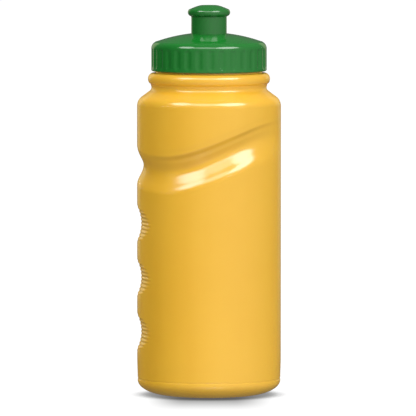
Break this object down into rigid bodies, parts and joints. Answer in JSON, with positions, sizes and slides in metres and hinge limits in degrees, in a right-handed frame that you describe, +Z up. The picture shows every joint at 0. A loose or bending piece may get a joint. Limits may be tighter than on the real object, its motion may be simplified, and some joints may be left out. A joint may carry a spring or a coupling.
{
  "type": "squeeze sports bottle",
  "caption": "Child's squeeze water bottle with moulded finger grips, a screw lid and a push-pull drinking spout.",
  "frame": {"origin": "centre of the foot, on the surface the bottle stands on", "axes": "+Z up along the bottle's axis, -Y the front, finger grips on the -X side"},
  "size_m": [0.073, 0.073, 0.1978],
  "materials": {
    "body_plastic": "satin squeezable polyethylene, golden yellow",
    "lid_plastic": "glossy moulded polypropylene, mid green",
    "seal_rubber": "soft, matt, natural white",
    "spout_plastic": "soft-gloss moulded polyethylene, mid green"
  },
  "bodies": {
    "bottle": {"bottle_body": "body_plastic"},
    "seal_carrier": {"lid_seal": "seal_rubber"},
    "lid": {"screw_cap": "lid_plastic"},
    "spout": {"drinking_spout": "spout_plastic"}
  },
  "joints": [
    {"name": "lid_rise", "type": "slide", "parent": "bottle", "child": "seal_carrier", "axis": [0, 0, 1], "range_m": [0, 0.0125]},
    {"name": "lid_turn", "type": "hinge", "parent": "seal_carrier", "child": "lid", "pos_m": [0, 0, 0.17], "axis": [0, 0, 1], "range_deg": [0, 905]},
    {"name": "spout_pull", "type": "slide", "parent": "lid", "child": "spout", "axis": [0, 0, 1], "range_m": [0, 0.006]}
  ],
  "couplings": [
    {"joint": "lid_turn", "follows": "lid_rise", "rad_per_m": 1256.6}
  ]
}
